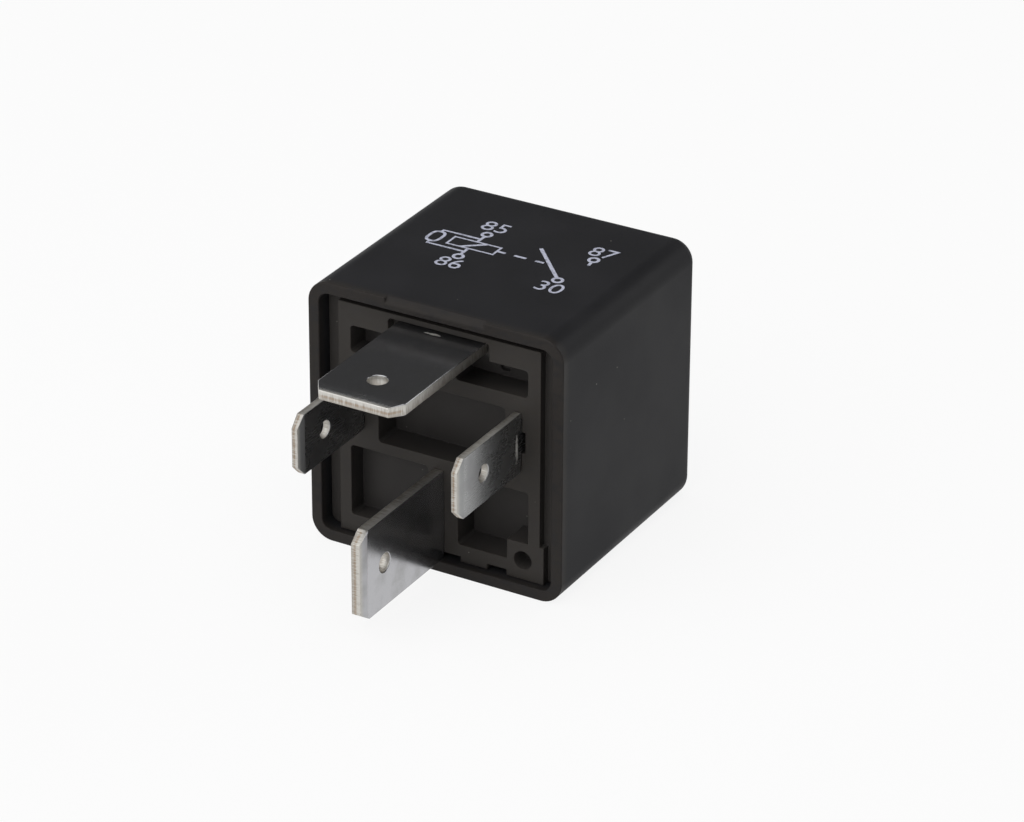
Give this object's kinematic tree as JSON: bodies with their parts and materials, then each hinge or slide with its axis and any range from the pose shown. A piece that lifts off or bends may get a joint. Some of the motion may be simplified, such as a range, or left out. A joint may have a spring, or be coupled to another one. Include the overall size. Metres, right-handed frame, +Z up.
{
  "type": "automotive relay",
  "caption": "Plug-in make-contact automotive relay with a moulded case, pocketed base, wide power blades and narrower coil blades, over a hinged-armature switch.",
  "frame": {"origin": "under the middle of the whole outline, on the surface that the relay lies on", "axes": "+Z up through the printed side, -Y along the blades out of the case's mouth, +X to the right seen from the blades"},
  "size_m": [0.028, 0.041, 0.028],
  "materials": {
    "case_plastic": "satin moulded black polyamide",
    "base_plastic": "satin glass-filled black polyamide",
    "tinned_brass": "bright tin plate",
    "plated_iron": "satin plated soft iron",
    "bobbin_plastic": "natural glass-filled plastic",
    "enamelled_copper": "gloss enamelled copper wire",
    "resistor_lacquer": "gloss lacquer",
    "contact_silver": "satin silver alloy",
    "stop_steel": "satin plated strip",
    "rivet_brass": "satin",
    "spring_bronze": "satin rolled bronze"
  },
  "bodies": {
    "housing": {"cover": "case_plastic", "base": "base_plastic", "terminal_30": "tinned_brass", "terminal_85": "tinned_brass", "terminal_86": "tinned_brass", "terminal_87": "tinned_brass", "yoke": "plated_iron", "core": "plated_iron", "bobbin": "bobbin_plastic", "coil_winding": "enamelled_copper", "coil_lead_85": "enamelled_copper", "coil_lead_86": "enamelled_copper", "resistor": "resistor_lacquer", "resistor_lead_85": "tinned_brass", "resistor_lead_86": "tinned_brass", "fixed_contact": "contact_silver", "back_stop": "stop_steel", "yoke_rivets": "rivet_brass"},
    "armature": {"armature": "plated_iron", "armature_rivets": "rivet_brass", "contact_spring": "spring_bronze", "moving_contact": "contact_silver"}
  },
  "joints": [
    {"name": "armature_tilt", "type": "hinge", "parent": "housing", "child": "armature", "pos_m": [0, 0.01351, 0.003], "axis": [1, 0, 0], "range_deg": [0, 3.2], "stiffness_Nm_per_rad": 0.12, "springref_deg": -5.16, "deforming": ["contact_spring"]}
  ]
}
